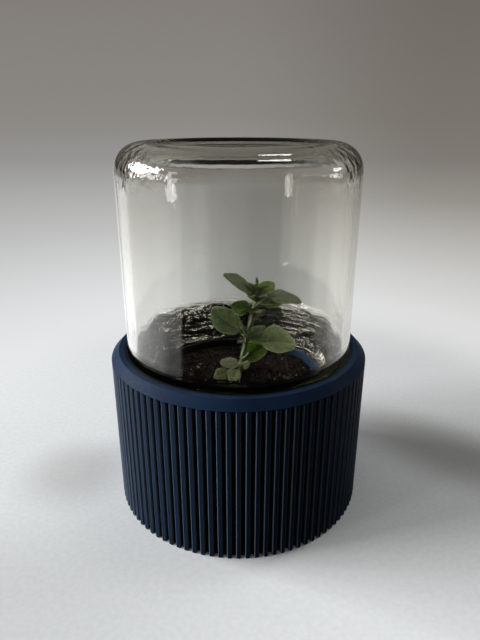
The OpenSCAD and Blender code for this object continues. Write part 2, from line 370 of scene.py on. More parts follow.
# Crumbs of soil that the solid has too: radius share, angle, size share and sunk share of each
crumb_shares = np.array([
    [0.86, 20, 0.60, 0.45], [0.80, 52, 1.00, 0.55], [0.74, 95, 0.70, 0.50],
    [0.84, 130, 0.85, 0.55], [0.60, 160, 0.75, 0.50], [0.82, 195, 0.90, 0.60],
    [0.50, 215, 0.60, 0.45], [0.78, 240, 0.80, 0.55], [0.66, 275, 1.00, 0.60],
    [0.84, 300, 0.70, 0.50], [0.52, 320, 0.80, 0.50], [0.74, 345, 0.90, 0.55],
])  # fmt: skip

# Pale grains: radius share, angle and size share
grain_shares = np.array([
    [0.62, 352, 1.00], [0.70, 5, 0.80], [0.50, 340, 0.70], [0.56, 2, 0.60],
    [0.44, 300, 0.80], [0.52, 255, 0.70], [0.36, 282, 0.60], [0.60, 150, 0.80],
    [0.72, 170, 0.60], [0.40, 190, 0.60], [0.66, 222, 0.70], [0.72, 318, 0.90],
])  # fmt: skip


def soil_height(share):
    """Height of the soil's surface at a share of its radius: a low crown, a cosine across."""
    return soil_z + soil_rise * (1 + np.cos(np.pi * share)) / 2


def lumps(places, sizes, rough, steps=(6, 9)):
    """Many small uneven balls as arrays of points, corners and sides.

    A ball is a unit sphere on rings and points, each point pushed in or out at random, turned
    by a random angle, flattened a little and set at its place.
    """
    rings, around = steps
    rise = np.linspace(-np.pi / 2, np.pi / 2, rings + 2)[1:-1]
    turn = np.linspace(0, 2 * np.pi, around, endpoint=False)
    ball = np.stack([
        np.outer(np.cos(rise), np.cos(turn)),
        np.outer(np.cos(rise), np.sin(turn)),
        np.outer(np.sin(rise), np.ones(around)),
    ], axis=-1).reshape(-1, 3)  # fmt: skip
    ball = np.vstack([ball, [[0, 0, -1], [0, 0, 1]]])
    count = len(places)
    uneven = 1 + rough * rng.uniform(-1, 1, (count, len(ball), 1))
    stretch = rng.uniform(0.7, 1.1, (count, 1, 3))
    points = ball * uneven * stretch * np.asarray(sizes)[:, None, None]
    spin = rng.uniform(0, 2 * np.pi, count)[:, None]
    x = points[..., 0] * np.cos(spin) - points[..., 1] * np.sin(spin)
    y = points[..., 0] * np.sin(spin) + points[..., 1] * np.cos(spin)
    points = np.stack([x, y, points[..., 2]], axis=-1) + np.asarray(places)[:, None, :]
    corners, sides = tube_faces(rings, around)
    corners = (corners + np.arange(count)[:, None] * len(ball)).ravel()
    return points.reshape(-1, 3), corners, np.tile(sides, count)


def loose_soil():
    """Potting soil that fills the cup, with a crumbly top.

    The skin runs from the middle of its floor out, up the cup's tapered wall and in over the
    top. The top is the highest of its crown and of many half-sunk balls of random size, and
    small loose crumbs lie over it.
    """
    around = 320
    angle = np.linspace(0, 2 * np.pi, around, endpoint=False)
    share = np.linspace(0.995, 0.01, 150)[:, None]
    x = soil_r * share * np.cos(angle)
    y = soil_r * share * np.sin(angle)
    height = soil_height(share) + np.zeros(around) - 0.25
    count = 900
    ball_share = np.sqrt(rng.uniform(0, 0.92, count))
    ball_turn = rng.uniform(0, 2 * np.pi, count)
    ball_r = 0.5 + 1.3 * rng.uniform(0, 1, count) ** 2.5
    sunk = rng.uniform(0.35, 0.75, count) * ball_r
    big = crumb_shares
    ball_share = np.concatenate([ball_share, big[:, 0] * (1 - crumb_r / soil_r)])
    ball_turn = np.concatenate([ball_turn, np.radians(big[:, 1])])
    ball_r = np.concatenate([ball_r, crumb_r * big[:, 2]])
    sunk = np.concatenate([sunk, crumb_r * big[:, 2] * big[:, 3]])
    for s, t, r, down in zip(ball_share, ball_turn, ball_r, sunk):
        away = (x - soil_r * s * np.cos(t)) ** 2 + (y - soil_r * s * np.sin(t)) ** 2
        top = soil_height(s) - down + np.sqrt(np.maximum(r**2 - away, 0))
        height = np.where(away < r**2, np.maximum(height, top), height)
    foot = np.array([[2, soil_floor_z], [soil_r - soil_taper, soil_floor_z], [soil_r, soil_step_z]])
    foot = np.vstack([foot, straight((soil_r, soil_step_z + 4), (soil_r, soil_z - 0.4), 5)])
    low = np.stack([
        foot[:, :1] * np.cos(angle), foot[:, :1] * np.sin(angle), foot[:, 1:] + np.zeros(around)
    ], axis=-1)  # fmt: skip
    rings = np.vstack([low, np.stack([x, y, height], axis=-1)])
    bed = skin("soil_bed", rings)
    count = 900
    spread = np.sqrt(rng.uniform(0, 0.93, count))
    turn = rng.uniform(0, 2 * np.pi, count)
    size = 0.28 + 0.5 * rng.uniform(0, 1, count) ** 3
    column = ((turn / (2 * np.pi)) * around).astype(int) % around
    row = np.clip(((0.995 - spread) / 0.985 * 149).astype(int), 0, 149)
    places = np.stack([
        soil_r * spread * np.cos(turn), soil_r * spread * np.sin(turn), height[row, column] + size * 0.3
    ], axis=-1)  # fmt: skip
    points, corners, sides = lumps(places, size, 0.22)
    crumbs = mesh_piece("soil_crumbs", points * MM, corners, sides)
    return bed, crumbs


def pale_grit():
    """Pale grit on the soil: uneven balls at the solid's places, and finer grains around them."""
    share, turn = grain_shares[:, 0], np.radians(grain_shares[:, 1])
    size = grain_r * grain_shares[:, 2]
    near = np.repeat(np.arange(len(share)), 3)
    share = np.concatenate([share, share[near] + rng.normal(0, 0.06, len(near))])
    turn = np.concatenate([turn, turn[near] + rng.normal(0, 0.12, len(near))])
    size = np.concatenate([size, size[near] * rng.uniform(0.2, 0.45, len(near))])
    lift = np.where(np.arange(len(share)) < len(grain_shares), 0.0, 0.55)
    places = np.stack([
        soil_r * share * np.cos(turn), soil_r * share * np.sin(turn), soil_height(share) + lift
    ], axis=-1)  # fmt: skip
    points, corners, sides = lumps(places, size, 0.16, (7, 10))
    return mesh_piece("pale_grit", points * MM, corners, sides)


# The stem's way up: sideways share of its height at each height share
lean_shares = np.array([
    [0, 0], [0.11, 0.009], [0.25, 0.038], [0.38, 0.071], [0.50, 0.107],
    [0.64, 0.139], [0.77, 0.166], [0.87, 0.187], [1, 0.205],
])  # fmt: skip
# Height shares of the stem's rings, and the stem's thickness share there
ring_shares = np.array([
    [0, 1], [0.08, 0.95], [0.18, 0.82], [0.30, 0.78], [0.38, 0.95], [0.46, 0.74],
    [0.58, 0.70], [0.68, 0.88], [0.78, 0.66], [0.88, 0.56], [1, 0.36],
])  # fmt: skip


def stem_at(share):
    """The middle of the stem at a share of its height."""
    share = np.asarray(share, dtype=float)
    lean = np.interp(share, lean_shares[:, 0], lean_shares[:, 1])
    return plant_at + stem_h * np.stack([lean, 0 * share, share], axis=-1)


def stem_r(share):
    """The stem's radius at a share of its height."""
    return np.interp(share, ring_shares[:, 0], ring_shares[:, 1]) * stem_d / 2


def stem():
    """The stem: rings with four soft corners, as on plants of the mint family, up the leaning way."""
    around = 24
    angle = np.linspace(0, 2 * np.pi, around, endpoint=False)
    share = np.concatenate([np.linspace(-root_h / stem_h, 0, 12)[:-1], np.linspace(0, 1, 110)])
    root = np.stack([0 * share, 0 * share, np.minimum(share, 0) * stem_h], axis=-1)
    middle = stem_at(np.maximum(share, 0)) + root
    radius = 1.25 * stem_r(np.maximum(share, 0)) * np.where(share < 0, 1 + share * stem_h / root_h * 0.75, 1)
    square = 1 + 0.09 * np.cos(4 * angle)
    rough = 1 + 0.05 * np.sin(37 * share[:, None] + 3 * np.sin(angle)) * np.sin(91 * share[:, None])
    reach = radius[:, None] * square * rough
    rings = middle[:, None, :] + np.stack([reach * np.cos(angle), reach * np.sin(angle), 0 * reach], axis=-1)
    shares = np.stack(np.broadcast_arrays(share[:, None], angle / (2 * np.pi)), axis=-1)
    return skin("stem_of_seedling", rings, shares=shares)


# Leaves from the top down: height share on the stem, the leaf's length share, its width, stalk
# and droop as shares of its own length, and its direction, rise, roll and fold in degrees.
# upper_left_leaf and upper_right_leaf stand up to 1.6 and 1.2 mm away from their solids
leaves = {
    "tip_leaf": (0.99, 0.27, 0.46, 0.04, 0.00, 94, 46, 55, 20),
    "top_right_leaf": (0.96, 0.50, 0.56, 0.10, 0.12, 46, 14, 44, 10),
    "top_left_leaf": (0.94, 0.30, 0.46, 0.08, 0.00, 216, 58, -60, 20),
    "upper_left_leaf": (0.93, 0.80, 0.74, 0.09, 0.03, 193, 36, -17, 7),
    "upper_right_leaf": (0.91, 0.87, 0.74, 0.17, 0.12, 1, 0, 7, 10),
    "bud_leaf": (0.85, 0.24, 0.36, 0.14, -0.06, 275, 44, -5, 24),
    "bud_side_leaf": (0.79, 0.46, 0.38, 0.18, 0.02, -48, 42, -78, 20),
    "pale_right_leaf": (0.80, 0.63, 0.28, 0.27, 0.06, 12, 3, 114, 8),
    "middle_left_leaf": (0.77, 0.50, 0.80, 0.16, 0.02, 193, 16, -111, 14),
    "node_leaf": (0.66, 0.29, 0.69, 0.03, 0.04, -12, 37, 30, 15),
    "large_left_leaf": (0.42, 0.91, 0.57, 0.23, 0.04, 168, 39, -87, 6),
    "large_right_leaf": (0.34, 1.01, 0.82, 0.32, 0.23, 1, 10, 21, 18),
    "back_right_leaf": (0.40, 0.54, 0.51, 0.10, 0.05, 40, 15, 48, 8),
    "axil_leaf": (0.44, 0.32, 0.46, 0.08, 0.00, 225, 62, 5, 20),
    "lower_right_leaf": (0.12, 0.68, 0.68, 0.12, 0.05, 19, 37, 84, 8),
    "front_seed_leaf": (0.03, 0.32, 0.54, 0.04, 0.03, -38, 44, 110, 5),
    "low_left_leaf": (0.08, 0.39, 0.73, 0.17, 0.02, 167, 7, -25, 8),
    "left_seed_leaf": (0.10, 0.62, 0.37, 0.52, -0.01, 219, -8, -43, 6),
    "right_seed_leaf": (0.08, 0.49, 0.57, 0.27, 0.01, 246, -11, -18, 6),
}
# Small leaves that stand close together at the nodes, with the same numbers. No solid has them
young_leaves = {
    "young_leaf_1": (0.98, 0.26, 0.55, 0.05, 0.05, 240, 48, 10, 20),
    "young_leaf_2": (0.97, 0.30, 0.60, 0.05, 0.10, 320, 44, -10, 18),
    "young_leaf_3": (0.95, 0.30, 0.52, 0.06, 0.10, 200, 52, -30, 20),
    "young_leaf_4": (0.93, 0.28, 0.60, 0.06, 0.15, 345, 30, 30, 15),
    "young_leaf_5": (0.89, 0.24, 0.60, 0.06, 0.00, 250, 30, 0, 25),
    "young_leaf_6": (0.76, 0.46, 0.42, 0.10, 0.16, 205, 8, 35, 15),
    "young_leaf_7": (0.74, 0.26, 0.55, 0.08, 0.10, 300, 20, 0, 20),
    "young_leaf_8": (0.71, 0.22, 0.55, 0.08, 0.05, 225, 42, 0, 20),
    "young_leaf_9": (0.47, 0.24, 0.60, 0.08, 0.10, 200, 48, 10, 20),
    "young_leaf_10": (0.42, 0.26, 0.50, 0.08, 0.05, 245, 38, 0, 22),
    "young_leaf_11": (0.44, 0.22, 0.60, 0.08, 0.05, 320, 52, 0, 20),
    "young_leaf_12": (0.37, 0.22, 0.55, 0.08, 0.10, 215, 20, 0, 20),
    "young_leaf_13": (0.16, 0.24, 0.60, 0.08, 0.05, 330, 46, 20, 20),
    "young_leaf_14": (0.90, 0.30, 0.36, 0.08, 0.00, 262, 64, 0, 22),
    "young_leaf_15": (0.95, 0.36, 0.50, 0.05, 0.05, 190, 47, -20, 18),
    "young_leaf_16": (0.85, 0.44, 0.45, 0.10, 0.12, 332, 12, 20, 15),
    "young_leaf_17": (0.87, 0.30, 0.50, 0.08, 0.05, 228, 34, -20, 18),
}
pale_leaves = (
    "front_seed_leaf", "left_seed_leaf", "right_seed_leaf", "pale_right_leaf", "young_leaf_1",
    "young_leaf_5", "young_leaf_6", "young_leaf_8", "young_leaf_10", "young_leaf_13", "young_leaf_14",
)  # fmt: skip
# Leaves drawn in a brighter copy of the green finish. On large_right_leaf and lower_right_leaf, which lie in
# shade, the brighter copy is painted light
brighter_leaves = (
    "large_right_leaf", "top_right_leaf", "young_leaf_2", "young_leaf_3", "young_leaf_4",
    "young_leaf_7", "young_leaf_9", "young_leaf_11", "young_leaf_15", "young_leaf_16",
    "young_leaf_17", "lower_right_leaf",
)  # fmt: skip
# The two widest leaves near the top, drawn in the darkest copy of the green finish
deep_leaves = ("upper_left_leaf", "upper_right_leaf")


def turned(points, roll, rise, direction):
    """Points turned about X by roll, about Y by minus rise and about Z by direction, in degrees."""
    a, b, c = np.radians([roll, -rise, direction])
    about_x = np.array([[1, 0, 0], [0, np.cos(a), -np.sin(a)], [0, np.sin(a), np.cos(a)]])
    about_y = np.array([[np.cos(b), 0, np.sin(b)], [0, 1, 0], [-np.sin(b), 0, np.cos(b)]])
    about_z = np.array([[np.cos(c), -np.sin(c), 0], [np.sin(c), np.cos(c), 0], [0, 0, 1]])
    return points @ (about_z @ about_y @ about_x).T


def leaf(name, numbers):
    """A leaf as a skin of rings from its stalk to its tip.

    A ring runs over the leaf's top from one edge to the other and back beneath. Half the width
    follows a sine of the length share to a power, the blade folds up along its midrib and droops
    with the square of the length, the side veins press lines into the top, and the blade between
    them is puffed up a little.
    """
    height, long_share, wide_share, stalk_share, droop, direction, rise, roll, fold = numbers
    length = leaf_l * long_share
    half_most = length * wide_share / 2
    share = np.linspace(0.004, 0.996, 72)[:, None]
    blade = np.clip((share - stalk_share) / (1 - stalk_share), 0, 1)
    half = half_most * np.sin(np.pi * np.minimum(blade**0.88, 1)) ** 0.5
    half = half * (1 + 0.018 * np.sin(2 * np.pi * 9 * blade))
    stalk = stalk_w / 2 * np.clip((1 - share) / 0.5, 0, 1)
    half = np.maximum(half, np.where(blade < 0.5, stalk, 0.0))
    across = np.cos(np.linspace(0, np.pi, 25))
    sides = np.concatenate([across, -across[1:-1]])
    top = np.concatenate([np.ones(25), np.zeros(23)])
    solid = np.clip(half / (0.25 * half_most) - 0.6, 0, 1)
    side = sides[None, :]
    y = half * side
    veins = blade * vein_count - np.abs(side) * vein_sweep
    dip = np.exp(-(((veins - np.round(veins)) / 0.13) ** 2)) * np.abs(side) ** 0.2
    puff = 0.012 * length * (1 - dip) * (1 - side**2) * np.clip(np.abs(side) / 0.25, 0, 1)
    groove = 0.012 * length * np.exp(-((side / 0.09) ** 2))
    curl = -0.03 * half_most * np.abs(side) ** 4
    wave = 0.008 * length * np.sin(2 * np.pi * (2.2 * blade + 0.3 * np.sign(side))) * side**2
    sheet = (puff - groove + curl + wave) * solid
    fold_z = np.abs(y) * np.tan(np.radians(fold)) - length * droop * share**2
    round_off = np.sqrt(np.maximum(1 - side**2, 0))
    thick_top = leaf_t * (0.45 * (1 - solid) + 0.12 * solid)
    midrib = np.exp(-((y / (0.5 * stalk_w)) ** 2)) * np.clip(1.15 - share, 0, 1)
    thick_under = leaf_t * (0.75 * (1 - solid) + (0.22 + 0.6 * midrib) * solid)
    z = fold_z + sheet + np.where(top > 0, thick_top, -thick_under) * round_off
    x = np.broadcast_to(length * share, y.shape)
    rings = turned(np.stack([x + stem_r(height) * 0.6, y, z], axis=-1), roll, rise, direction)
    ends = turned(np.array([
        [stem_r(height) * 0.6, 0, 0], [length + stem_r(height) * 0.6, 0, -length * droop]
    ]), roll, rise, direction)  # fmt: skip
    at = stem_at(height)
    shares = np.stack(np.broadcast_arrays(share, 0.5 + side / 2), axis=-1)
    return skin(name.replace("leaf", "blade"), rings + at, ends[0] + at, ends[1] + at, shares)


def hairs(piece, count, long, spread):
    """Down on a piece: thin spikes of three sides, which stand out of it at random points.

    Each foot is a random mix of the corners of a random face, picked by the face's area, and the
    tip lies along that face's outward side, leaned over at random.
    """
    mesh = piece.data
    mesh.calc_loop_triangles()
    points = np.empty(len(mesh.vertices) * 3)
    mesh.vertices.foreach_get("co", points)
    corners = np.empty(len(mesh.loop_triangles) * 3, dtype=np.int32)
    mesh.loop_triangles.foreach_get("vertices", corners)
    faces = points.reshape(-1, 3)[corners.reshape(-1, 3)] / MM
    facing = np.cross(faces[:, 1] - faces[:, 0], faces[:, 2] - faces[:, 0])
    area = np.linalg.norm(facing, axis=1)
    picked = rng.choice(len(faces), count, p=area / area.sum())
    mix = rng.dirichlet((1, 1, 1), count)
    foot = (faces[picked] * mix[:, :, None]).sum(axis=1)
    out = facing[picked] / area[picked, None] + spread * rng.normal(0, 1, (count, 3))
    out /= np.linalg.norm(out, axis=1)[:, None]
    side = np.cross(out, rng.normal(0, 1, (count, 3)))
    side /= np.linalg.norm(side, axis=1)[:, None]
    turn = np.radians([0, 120, 240])[None, :, None]
    ring = side[:, None] * np.cos(turn) + np.cross(out, side)[:, None] * np.sin(turn)
    tip = foot + out * long * rng.uniform(0.5, 1.2, (count, 1))
    tip[:, 2] = np.maximum(tip[:, 2], soil_z)
    spikes = np.concatenate([foot[:, None] + ring * hair_r, tip[:, None]], axis=1)
    sides = np.array([0, 2, 1, 0, 1, 3, 1, 2, 3, 2, 0, 3])
    corners = (np.arange(count)[:, None] * 4 + sides).ravel()
    return mesh_piece("down_of_" + piece.name, spikes.reshape(-1, 3) * MM, corners, np.full(4 * count, 3))


def printed_plastic(name, body, worn, ribs=None, back_left_dark=None):
    """Matt PLA, printed in layers: gives a soft satin glow with faint level lines, never a mirror.

    ribs are the colours of the ribs below the rim, on their faces and on their edges, whose lighter grey is
    a painted highlight.
    The grooves between them are painted darker, as painted shade, and the bore is painted nearly black, a
    painted shade where little light gets in beside the glass.
    The last colour, if given, makes the cup's wall near black towards its back and left.
    """
    material, tree, shader, place = new_material(name)
    cloud = add(tree, "ShaderNodeTexNoise", {"Scale": 60, "Detail": 4}, {"Vector": place}).outputs["Fac"]
    grain = add(tree, "ShaderNodeTexNoise", {"Scale": 900, "Detail": 2}, {"Vector": place}).outputs["Fac"]
    tone = blend(tree, span(tree, cloud, 0.35, 0.7), body, worn)
    apart = add(tree, "ShaderNodeSeparateXYZ", links={0: place})
    if ribs:
        ribs_end = (base_h - rim_h) * MM
        below = span(tree, apart.outputs["Z"], ribs_end, ribs_end + rim_fade * MM, 1.0, 0.0)
        turn = sums(tree, "ARCTAN2", apart.outputs["Y"], apart.outputs["X"])
        rib = sums(tree, "FRACT", sums(tree, "MULTIPLY_ADD", turn, rib_count / (2 * math.pi), 0.5))
        from_middle = sums(tree, "ABSOLUTE", sums(tree, "SUBTRACT", rib, 0.5))
        # Painted highlight: the ribs' rounded edges are painted a lighter grey than their faces, where the
        # window's light catches them
        tone = blend(tree, below, tone, blend(tree, span(tree, from_middle, 0.15, 0.22), *ribs))
        out = from_axis(tree, place)
        # Painted shade: the grooves between the ribs are painted darker
        painted_groove_shade = span(tree, out, groove_r * MM, (groove_r + groove_fade) * MM, 0.9, 0.0)
        tone = blend(tree, sums(tree, "MULTIPLY", painted_groove_shade, below), tone, "#04070b")
        # Painted shade: the bore is painted nearly black
        bore = span(tree, out, bore_r * MM, (bore_r + bore_fade) * MM, 1.0, 0.0)
        tone = blend(tree, bore, tone, "#020304")
    if back_left_dark:
        # The cup's wall is made near black towards its back and left
        toward_back_left = sums(tree, "SUBTRACT", apart.outputs["Y"], sums(tree, "MULTIPLY", apart.outputs["X"], 0.8))
        tone = blend(tree, span(tree, toward_back_left, 0.0, 12 * MM), tone, back_left_dark)
    tree.links.new(tone, shader.inputs["Base Color"])
    tree.links.new(span(tree, grain, 0.3, 0.7, 0.5, 0.62), shader.inputs["Roughness"])
    # Printed layers, coarser than the usual 0.2 mm, so that they still show
    layer_t = 0.4
    wobble = sums(tree, "MULTIPLY", cloud, 0.12 * MM)
    height = sums(tree, "ADD", apart.outputs["Z"], wobble)
    layer = sums(tree, "SINE", sums(tree, "MULTIPLY", height, 2 * math.pi / (layer_t * MM)))
    relief = sums(tree, "ADD", sums(tree, "MULTIPLY", layer, 0.5), sums(tree, "MULTIPLY", grain, 0.8))
    bump = add(tree, "ShaderNodeBump", {"Strength": 0.35, "Distance": 0.03 * MM}, {"Height": relief})
    tree.links.new(bump.outputs[0], shader.inputs["Normal"])
    shader.inputs["Specular IOR Level"].default_value = 0.07
    return material


def soda_glass(name):
    """Pressed soda-lime glass: clear and nearly without a cast, smooth but a little wavy.

    Rays from lamps and rays that light the inside pass straight through, darkened as by a
    wall, so that the soil and the plant are lit through the jar. The ripple is a bump, not a
    shape. At the shoulder it is drawn much deeper than on a real jar, about 2 mm at the back,
    so that the streaks behind the plant show.
    """
    material, tree, shader, place = new_material(name)
    shader.inputs["Roughness"].default_value = 0.0
    shader.inputs["IOR"].default_value = 1.5
    shader.inputs["Transmission Weight"].default_value = 1.0
    apart = add(tree, "ShaderNodeSeparateXYZ", links={0: place})
    x, y, z = (apart.outputs[axis] for axis in "XYZ")

    def rising(low, high, *ends):
        """A share that goes over between two heights above the mouth."""
        return span(tree, z, (mouth_z + low) * MM, (mouth_z + high) * MM, *ends)

    # The thick bottom looks dark olive where the eye looks along it
    stand_r = jar_r - heel_r
    bottom = span(tree, from_axis(tree, place), stand_r * MM, (stand_r + 2) * MM, 1.0, 0.0)
    slant = add(tree, "ShaderNodeLayerWeight", {"Blend": 0.5}).outputs["Facing"]
    along = sums(tree, "MULTIPLY", bottom, span(tree, slant, 0.3, 0.6))
    tone = blend(tree, along, "#fafaf8", "#87866c")
    # The turn of its shoulder in front, just above the rim, is painted darker: painted shade
    in_front = span(tree, y, -12 * MM, -30 * MM)
    painted_shoulder_shade = sums(tree, "MULTIPLY", rising(34.5, 37.5, 1.0, 0.0), in_front)
    tree.links.new(blend(tree, painted_shoulder_shade, tone, "#6a6a60"), shader.inputs["Base Color"])
    upright = add(tree, "ShaderNodeMapping", {"Scale": (1, 1, 0.35)}, {"Vector": place}).outputs[0]
    ringwise = add(tree, "ShaderNodeMapping", {"Scale": (0.26, 0.26, 2.1)}, {"Vector": place}).outputs[0]
    wavy = {"Scale": 160, "Detail": 4, "Roughness": 0.6}
    body = add(tree, "ShaderNodeTexNoise", wavy, {"Vector": upright})
    ringed = {"Scale": 260, "Detail": 2, "Roughness": 0.4}
    neck = add(tree, "ShaderNodeTexNoise", ringed, {"Vector": ringwise})
    dented = {"Scale": 330, "Detail": 2, "Roughness": 0.5}
    heel = add(tree, "ShaderNodeTexNoise", dented, {"Vector": place})
    # The shoulder ripples most at its back
    low = rising(outer_turn[0], outer_turn[1] + 3, 1.0, 0.0)
    low = sums(tree, "MULTIPLY", low, rising(10, 16, 0.1, 1.0))
    low = sums(tree, "MULTIPLY", low, span(tree, y, 0.0, 20 * MM, 6.0, 32.0))
    # The heel ripples most at its left, a little less at its right, and least at its outer edges
    left = span(tree, x, -36 * MM, -14 * MM, 2.2, 0.2)
    left_or_right = sums(tree, "ADD", left, span(tree, x, 14 * MM, 36 * MM, 0.0, 1.4))
    high = sums(tree, "MULTIPLY", rising(jar_h - 19, jar_h - 10, 0.0, 1.0), left_or_right)
    edge = span(tree, sums(tree, "ABSOLUTE", x), 36 * MM, 42 * MM, 1.0, 0.3)
    high = sums(tree, "MULTIPLY", high, edge)
    jagged = sums(tree, "MULTIPLY_ADD", heel.outputs["Fac"], 0.22, neck.outputs["Fac"])
    ripple = sums(tree, "MULTIPLY_ADD", body.outputs["Fac"], 0.4, sums(tree, "MULTIPLY", jagged, low))
    ripple = sums(tree, "ADD", ripple, sums(tree, "MULTIPLY", heel.outputs["Fac"], high))
    bump = add(tree, "ShaderNodeBump", {"Strength": 1.0, "Distance": 0.12 * MM}, {"Height": ripple})
    tree.links.new(bump.outputs[0], shader.inputs["Normal"])
    clear = add(tree, "ShaderNodeBsdfTransparent", {"Color": linear("#f3f4f1")}).outputs[0]
    path = add(tree, "ShaderNodeLightPath")
    lit = add(tree, "ShaderNodeMixShader", links={
        0: path.outputs["Is Diffuse Ray"], 1: shader.outputs[0], 2: clear
    }).outputs[0]  # fmt: skip
    open_to_lamps = add(tree, "ShaderNodeMixShader", links={
        0: path.outputs["Is Shadow Ray"], 1: lit, 2: clear
    }).outputs[0]  # fmt: skip
    tree.links.new(open_to_lamps, tree.nodes["Material Output"].inputs["Surface"])
    # Iron in the glass: olive where the eye looks along the wall, through the heel and the rim
    depth = add(tree, "ShaderNodeVolumeAbsorption", {"Color": linear("#e7e1cc"), "Density": 40.0}).outputs[0]
    tree.links.new(depth, tree.nodes["Material Output"].inputs["Volume"])
    return material


def potting_mix(name):
    """Damp peat and compost: nearly black, with brown fibres and a dull, broken surface."""
    material, tree, shader, place = new_material(name)
    fibrous = {"Scale": 700, "Detail": 6, "Roughness": 0.7}
    fine = add(tree, "ShaderNodeTexNoise", fibrous, {"Vector": place}).outputs["Fac"]
    patch = add(tree, "ShaderNodeTexNoise", {"Scale": 120, "Detail": 3}, {"Vector": place}).outputs["Fac"]
    dark = ramp(tree, fine, [
        (0.35, "#0a0806"), (0.55, "#18130f"), (0.72, "#2c231c"), (0.8, "#524539")
    ])  # fmt: skip
    tone = blend(tree, span(tree, patch, 0.45, 0.65), dark, "#2b1d15", "MULTIPLY")
    tree.links.new(blend(tree, 0.6, dark, tone), shader.inputs["Base Color"])
    tree.links.new(span(tree, patch, 0.4, 0.6, 0.95, 0.6), shader.inputs["Roughness"])
    bump = add(tree, "ShaderNodeBump", {"Strength": 0.8, "Distance": 0.3 * MM}, {"Height": fine})
    tree.links.new(bump.outputs[0], shader.inputs["Normal"])
    shader.inputs["Specular IOR Level"].default_value = 0.06
    return material


def mineral(name):
    """Perlite and grit: chalky off-white stone with grey pits."""
    material, tree, shader, place = new_material(name)
    pits = add(tree, "ShaderNodeTexVoronoi", {"Scale": 1600}, {"Vector": place}).outputs["Distance"]
    stain = add(tree, "ShaderNodeTexNoise", {"Scale": 90, "Detail": 3}, {"Vector": place}).outputs["Fac"]
    stone = ramp(tree, pits, [(0.0, "#5c554b"), (0.35, "#8c8274"), (0.8, "#a39a8a")])
    soiled = blend(tree, span(tree, stain, 0.4, 0.7, 0.0, 0.6), stone, "#6b5a48")
    tree.links.new(soiled, shader.inputs["Base Color"])
    bump = add(tree, "ShaderNodeBump", {"Strength": 0.6, "Distance": 0.15 * MM}, {"Height": pits})
    tree.links.new(bump.outputs[0], shader.inputs["Normal"])
    shader.inputs["Roughness"].default_value = 0.85
    return material


def downy_leaf(name, dull, fresh, vein, edge):
    """A soft leaf with short down: dull green, paler veins and edges, and a grey bloom at a slant."""
    material, tree, shader, place = new_material(name)
    shares = add(tree, "ShaderNodeUVMap", {"uv_map": "Shares"}).outputs["UV"]
    parts = add(tree, "ShaderNodeSeparateXYZ", links={0: shares})
    twice = sums(tree, "MULTIPLY", parts.outputs["Y"], 2.0)
    side = sums(tree, "ABSOLUTE", sums(tree, "SUBTRACT", twice, 1.0))
    mottle = add(tree, "ShaderNodeTexNoise", {"Scale": 260, "Detail": 4}, {"Vector": place}).outputs["Fac"]
    down = add(tree, "ShaderNodeTexNoise", {"Scale": 2600, "Detail": 2}, {"Vector": place}).outputs["Fac"]
    flesh = blend(tree, span(tree, mottle, 0.35, 0.68), dull, fresh)
    run = sums(tree, "MULTIPLY", parts.outputs["X"], vein_count)
    run = sums(tree, "SUBTRACT", run, sums(tree, "MULTIPLY", side, vein_sweep))
    within = sums(tree, "FRACT", sums(tree, "ADD", run, 0.5))
    from_vein = sums(tree, "ABSOLUTE", sums(tree, "SUBTRACT", within, 0.5))
    veined = blend(tree, span(tree, from_vein, 0.0, 0.10, 0.55, 0.0), flesh, vein)
    ribbed = blend(tree, span(tree, side, 0.0, 0.09, 0.8, 0.0), veined, vein)
    rimmed = blend(tree, span(tree, side, 0.86, 1.0, 0.0, 0.75), ribbed, edge)
    speckled = blend(tree, span(tree, down, 0.52, 0.72, 0.0, 0.45), rimmed, edge)
    tree.links.new(speckled, shader.inputs["Base Color"])
    relief = sums(tree, "ADD", sums(tree, "MULTIPLY", mottle, 0.6), sums(tree, "MULTIPLY", down, 0.5))
    bump = add(tree, "ShaderNodeBump", {"Strength": 0.5, "Distance": 0.12 * MM}, {"Height": relief})
    tree.links.new(bump.outputs[0], shader.inputs["Normal"])
    shader.inputs["Roughness"].default_value = 0.62
    shader.inputs["Sheen Weight"].default_value = 0.16
    shader.inputs["Sheen Roughness"].default_value = 0.45
    shader.inputs["Sheen Tint"].default_value = linear("#dfe6cf")
    shader.inputs["Subsurface Weight"].default_value = 0.4
    shader.inputs["Subsurface Radius"].default_value = (0.7, 1.0, 0.4)
    shader.inputs["Subsurface Scale"].default_value = 1.2 * MM
    return material


def silvery_down(name):
    """Plant hair: fine and pale, so that leaf edges and the stem look soft."""
    material, tree, shader, place = new_material(name)
    patch = add(tree, "ShaderNodeTexNoise", {"Scale": 900, "Detail": 2}, {"Vector": place}).outputs["Fac"]
    tree.links.new(ramp(tree, patch, [(0.35, "#6a744e"), (0.65, "#9ca37f")]), shader.inputs["Base Color"])
    shader.inputs["Roughness"].default_value = 0.7
    shader.inputs["Specular IOR Level"].default_value = 0.2
    return material


def dress(piece, material, slot_name, body, *nodes):
    """Gives a piece its finish, its body and the CAD nodes that it stands for. Its slot_name is not used."""
    piece.data.materials.append(material)
    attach(piece, body)
    if nodes:
        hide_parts(*nodes)


